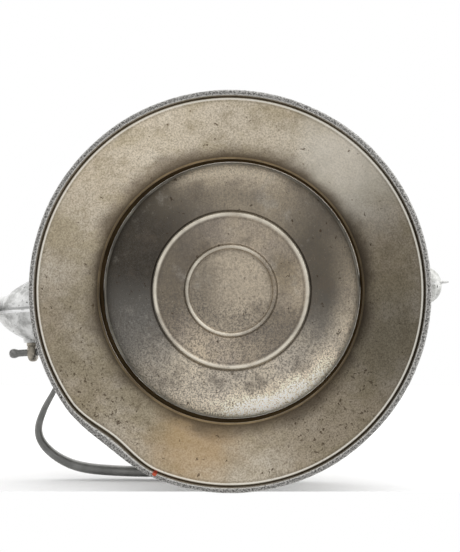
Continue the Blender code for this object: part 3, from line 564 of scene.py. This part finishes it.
# Radii between which the dent fades in, and from which its push is the rim's or the edge's
DENT_FADE = (0.0950, 0.1090)
DENT_EDGE_FADE = (0.1160, 0.1120)
# The rim's cast skin: where it fades in by radius and height, and its bumps' depth and fineness
SKIN_FADE = (0.1125, 0.1145)
SKIN_FOOT = (0.0002, 0.0012)
SKIN_BUMPS = [(0.00012, 420.0), (0.00018, 28.0)]


def shape_rim(mesh):
    """Dent the foot rim and give its cast skin a rough outline, after keeping each point's radius."""
    kept = mesh.attributes.new("turned_radius", "FLOAT", "POINT")
    for slot, vertex in zip(kept.data, mesh.vertices):
        place = vertex.co
        radius = math.hypot(place.x, place.y)
        angle = math.atan2(place.y, place.x)
        slot.value = radius
        push = DENT_RIM_PUSH + (DENT_EDGE_PUSH - DENT_RIM_PUSH) * fade(radius, *DENT_EDGE_FADE)
        along = fade(abs(angle - DENT_ANGLE), DENT_HALF_WIDTH, 0.0)
        shift = push * along * fade(radius, *DENT_FADE)
        skin = fade(radius, *SKIN_FADE) * fade(place.z, *SKIN_FOOT)
        for depth, fineness in SKIN_BUMPS:
            shift += depth * skin * (1 + noise.noise(place * fineness))
        place.x -= shift * math.cos(angle)
        place.y -= shift * math.sin(angle)


def build_ring():
    mesh = turned_mesh("base_ring_casting", soften(RING_SECTION, 2, True), RING_SEGMENTS, True)
    shape_rim(mesh)
    mesh.transform(Matrix.Translation(RING_AXIS))
    add_piece("base_ring_casting", mesh, ring_look(), "base", "base_ring")


# A plate's back, from its wall to its centre: radius, depth below the joint plane
BACK_SECTION = [
    (0.0824, 0.0012), (0.0824, 0.0058), (0.0820, 0.0065), (0.0794, 0.0067), (0.0786, 0.0074),
    (0.0785, 0.0085), (0.0785, 0.0110), (0.0783, 0.0128), (0.0773, 0.0141), (0.0745, 0.0145),
    (0.0690, 0.0149), (0.0600, 0.0152), (0.0495, 0.0153), (0.0487, 0.0158), (0.0477, 0.0172),
    (0.0466, 0.0178), (0.0454, 0.0172), (0.0442, 0.0170), (0.0300, 0.0170), (0.0288, 0.0172),
    (0.0277, 0.0184), (0.0268, 0.0189), (0.0258, 0.0184), (0.0248, 0.0172), (0.0238, 0.0171),
    (0.0120, 0.0172), (0.0004, 0.0173),
]


def build_plate_back(half, side, material):
    """The rubbed skin of a plate's back; side is -1 for the lower plate, +1 for the upper."""
    section = [(radius, side * depth) for radius, depth in soften(BACK_SECTION, 2, False)]
    mesh = turned_mesh(half + "_back", section, PLATE_SEGMENTS, False)
    mesh.transform(Matrix.Translation((RING_AXIS.x, 0.0, FLIP_Z)))
    add_piece(half + "_back", mesh, material, half + "_half")


# The bail's stations: x from the ring's axis, y, radius
BAIL_STATIONS = [
    (0.1160, -0.0304, 0.0022), (0.1070, -0.0314, 0.0022), (0.1045, -0.0364, 0.0019),
    (0.1090, -0.0434, 0.0017), (0.1147, -0.0546, 0.0016), (0.1222, -0.0665, 0.0020),
    (0.1266, -0.0785, 0.00235), (0.1238, -0.0885, 0.0027), (0.1140, -0.0978, 0.0030),
    (0.1005, -0.1038, 0.0033), (0.0800, -0.1072, 0.00335), (0.0500, -0.1096, 0.00335),
    (0.0190, -0.1105, 0.00335), (-0.0150, -0.1096, 0.00335), (-0.0430, -0.1062, 0.0033),
    (-0.0620, -0.0992, 0.0031), (-0.0750, -0.0900, 0.0028), (-0.0826, -0.0800, 0.0024),
    (-0.0880, -0.0670, 0.0020), (-0.0916, -0.0510, 0.0017), (-0.0938, -0.0390, 0.0018),
    (-0.0950, -0.0325, 0.0020), (-0.0985, -0.0304, 0.0022),
]
# An upset head, from its tip inward: x from the head's middle, radius
UPSET_HEAD = [
    (0.0029, 0.0012), (0.0024, 0.0022), (0.0012, 0.0029), (-0.0004, 0.0030), (-0.0018, 0.0026),
    (-0.0028, 0.0022),
]
CURVE_STEPS = 6
# Keeps the wire just inside the solid's skin
WIRE_SHARE = 0.995


def catmull(points, steps):
    """A smooth curve through a list of stations."""
    result = []
    last = len(points) - 1
    for index in range(last):
        before = points[max(index - 1, 0)]
        after = points[min(index + 2, last)]
        for step in range(steps):
            t = step / steps
            blend = []
            for a, b, c, d in zip(before, points[index], points[index + 1], after):
                square = 2 * a - 5 * b + 4 * c - d
                cube = 3 * b - a - 3 * c + d
                blend.append((2 * b + (c - a) * t + square * t * t + cube * t ** 3) / 2)
            result.append(blend)
    result.append(list(points[last]))
    return result


def build_bail(material):
    """The forged wire: a swept curve whose radius follows its stations, with a head at each end."""
    low, high = (Vector(corner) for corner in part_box("bail"))
    level = (low.z + high.z) / 2
    pin_y = BAIL_STATIONS[0][1]
    reach = UPSET_HEAD[0][0]
    start_x = high.x - RING_AXIS.x - reach
    end_x = low.x - RING_AXIS.x + reach
    start = [(start_x + step, pin_y, radius) for step, radius in UPSET_HEAD]
    finish = [(end_x - step, pin_y, radius) for step, radius in reversed(UPSET_HEAD)]
    route = start + catmull(BAIL_STATIONS, CURVE_STEPS) + finish
    curve = bpy.data.curves.new("bail_wire", "CURVE")
    curve.dimensions = "3D"
    curve.bevel_depth = 1.0
    curve.bevel_resolution = 6
    curve.use_fill_caps = True
    spline = curve.splines.new("POLY")
    spline.points.add(len(route) - 1)
    for point, (x, y, radius) in zip(spline.points, route):
        point.co = (RING_AXIS.x + x, y, level, 1.0)
        point.radius = radius * WIRE_SHARE
    guide = bpy.data.objects.new("bail_guide", curve)
    bpy.context.scene.collection.objects.link(guide)
    bpy.context.view_layer.update()
    mesh = bpy.data.meshes.new_from_object(guide.evaluated_get(bpy.context.evaluated_depsgraph_get()))
    bpy.data.objects.remove(guide, do_unlink=True)
    add_piece("bail_wire", mesh, material, "bail", "bail")


def assign(node, material):
    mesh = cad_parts[node].data
    mesh.materials.clear()
    mesh.materials.append(material)


# ------------------------------------------------------ camera, table, light

# The table starts this far behind the foot rim's plane, just under the rim
TABLE_START = 0.012
TABLE_GAP = 0.0002
TABLE_WIDTH = 1.6
TABLE_DEPTH = 0.60
FLOOR_WIDTH = 4.0
FLOOR_GAP = 0.0003
PAPER = grey(0.80)

# The light over a direction's share of an axis: share from, share to, strength from, strength to
LIGHT_BY_HEIGHT = (-0.6, 0.9, 1.3, 1.8)
LIGHT_BY_DEPTH = (-0.95, 0.1, 0.5, 1.0)
LIGHT_BY_SIDE = (-0.9, 0.9, 0.85, 1.15)


def build_camera():
    """Place the camera under the object, on the ring's axis but for a small tilt and swing."""
    data = bpy.data.cameras.new("camera")
    data.lens = CAMERA_LENS
    camera = bpy.data.objects.new("camera", data)
    bpy.context.scene.collection.objects.link(camera)
    forward = Vector((math.sin(CAMERA_SWING), math.sin(CAMERA_TILT), 1.0)).normalized()
    right = forward.cross(Vector((0.0, 1.0, 0.0))).normalized()
    up = right.cross(forward)
    turn = Matrix.Rotation(CAMERA_ROLL, 3, forward)
    right = turn @ right
    up = turn @ up
    basis = Matrix((right, up, -forward)).transposed().to_4x4()
    target = RING_AXIS + up * CENTRE_ABOVE + right * CENTRE_ASIDE
    camera.matrix_world = Matrix.Translation(target - forward * CAMERA_DISTANCE) @ basis
    bpy.context.scene.camera = camera
    return right, up, forward


def one_sided(name, colour):
    """A stage surface that shows only on the side that its normal faces."""
    material = bpy.data.materials.new(name)
    material.use_nodes = True
    tree = material.node_tree
    shader = tree.nodes["Principled BSDF"]
    shader.inputs["Base Color"].default_value = colour
    shader.inputs["Roughness"].default_value = 0.7
    clear = tree.nodes.new("ShaderNodeBsdfTransparent")
    blend = tree.nodes.new("ShaderNodeMixShader")
    geometry = tree.nodes.new("ShaderNodeNewGeometry")
    tree.links.new(geometry.outputs["Backfacing"], blend.inputs["Fac"])
    tree.links.new(shader.outputs[0], blend.inputs[1])
    tree.links.new(clear.outputs[0], blend.inputs[2])
    tree.links.new(blend.outputs[0], tree.nodes["Material Output"].inputs["Surface"])
    return material


def stage_plane(name, middle, across, along, width, length, material):
    """A flat stage surface whose normal is across x along."""
    half_w = across.normalized() * width / 2
    half_l = along.normalized() * length / 2
    near = middle - half_l
    far = middle + half_l
    corners = [near - half_w, near + half_w, far + half_w, far - half_w]
    mesh = bpy.data.meshes.new(name)
    mesh.from_pydata([tuple(corner) for corner in corners], [], [(0, 1, 2, 3)])
    mesh.materials.append(material)
    obj = bpy.data.objects.new(name, mesh)
    bpy.context.scene.collection.objects.link(obj)
    return obj


def build_world(right, up, forward):
    """White round the camera's view; the light is strongest from above and dim behind the camera."""
    world = bpy.data.worlds.new("studio")
    world.use_nodes = True
    tree = world.node_tree
    background = tree.nodes["Background"]
    direction = tree.nodes.new("ShaderNodeTexCoord").outputs["Generated"]

    def facing(vector):
        node = tree.nodes.new("ShaderNodeVectorMath")
        node.operation = "DOT_PRODUCT"
        tree.links.new(direction, node.inputs[0])
        node.inputs[1].default_value = vector
        return node.outputs["Value"]

    def remap(value, low, high, start, end):
        node = tree.nodes.new("ShaderNodeMapRange")
        node.interpolation_type = "SMOOTHSTEP"
        tree.links.new(value, node.inputs["Value"])
        node.inputs["From Min"].default_value = low
        node.inputs["From Max"].default_value = high
        node.inputs["To Min"].default_value = start
        node.inputs["To Max"].default_value = end
        return node.outputs["Result"]

    def times(first, second):
        node = tree.nodes.new("ShaderNodeMath")
        node.operation = "MULTIPLY"
        tree.links.new(first, node.inputs[0])
        tree.links.new(second, node.inputs[1])
        return node.outputs[0]

    height = remap(facing(up), *LIGHT_BY_HEIGHT)
    depth = remap(facing(forward), *LIGHT_BY_DEPTH)
    side = remap(facing(right), *LIGHT_BY_SIDE)
    light = times(times(height, depth), side)
    camera_ray = tree.nodes.new("ShaderNodeLightPath").outputs["Is Camera Ray"]
    choose = tree.nodes.new("ShaderNodeMix")
    tree.links.new(camera_ray, choose.inputs["Factor"])
    tree.links.new(light, choose.inputs[2])
    choose.inputs[3].default_value = 1.0
    tree.links.new(choose.outputs[0], background.inputs["Strength"])
    background.inputs["Color"].default_value = (1.0, 1.0, 1.0, 1.0)
    bpy.context.scene.world = world


def build_stage(right, up, forward):
    """The table that the iron stands on edge on, and a floor under its own foot rim."""
    paper = one_sided("table_paper", PAPER)
    middle = RING_AXIS - up * (FOOT_R + TABLE_GAP) + forward * (TABLE_START + TABLE_DEPTH / 2)
    stage_plane("table", middle, right, forward, TABLE_WIDTH, TABLE_DEPTH, paper)
    under = Vector((0.0, 0.0, -FLOOR_GAP))
    east = Vector((1.0, 0.0, 0.0))
    north = Vector((0.0, 1.0, 0.0))
    floor = stage_plane("floor", under, east, north, FLOOR_WIDTH, FLOOR_WIDTH, paper)
    floor.visible_diffuse = False
    floor.visible_glossy = False
    floor.visible_shadow = False


bpy.context.scene.view_settings.view_transform = "Standard"
right, up, forward = build_camera()
build_world(right, up, forward)
build_stage(right, up, forward)

HAZY_TONE = tone(0.66, 0.66, 0.65)
HAZY = cast_iron("bracket_iron", HAZY_TONE, tone(0.34, 0.34, 0.33), 0.42, 0.8)
SOCKET = cast_iron("socket_iron", tone(0.60, 0.60, 0.58), tone(0.34, 0.34, 0.32), 0.42, 0.25)
EYE = cast_iron("eye_iron", tone(0.44, 0.40, 0.33), tone(0.17, 0.155, 0.13), 0.45)
DARK = cast_iron("dark_iron", tone(0.085, 0.080, 0.075), tone(0.035, 0.033, 0.03), 0.5)
PLATE_PALE = tone(0.07, 0.05, 0.032)
PLATE_DARK = tone(0.035, 0.024, 0.015)
PLATE_EDGE = cast_iron("plate_iron", PLATE_PALE, PLATE_DARK, 0.6, neck=HAZY_TONE)
BACK = plate_back_look()
BAIL = steel_look("bail_steel", tone(0.24, 0.24, 0.23), 0.36)
BRIGHT = steel_look("bright_steel", tone(0.56, 0.55, 0.52), 0.3)
WOOD = wood_look()

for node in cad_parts:
    assign(node, DARK)
assign("handle_rest", HAZY)
assign("ball_socket", SOCKET)
for node in ("handle_side_eye", "hinge_side_eye"):
    assign(node, EYE)
for node in ("lower_plate", "upper_plate"):
    assign(node, PLATE_EDGE)
for node in ("hinge_pin", "lower_ferrule", "upper_ferrule", "lower_end_nut", "upper_end_nut"):
    assign(node, BRIGHT)
for node in ("lower_grip", "upper_grip"):
    assign(node, WOOD)
build_ring()
build_plate_back("lower", -1, BACK)
build_plate_back("upper", 1, BACK)
build_bail(BAIL)
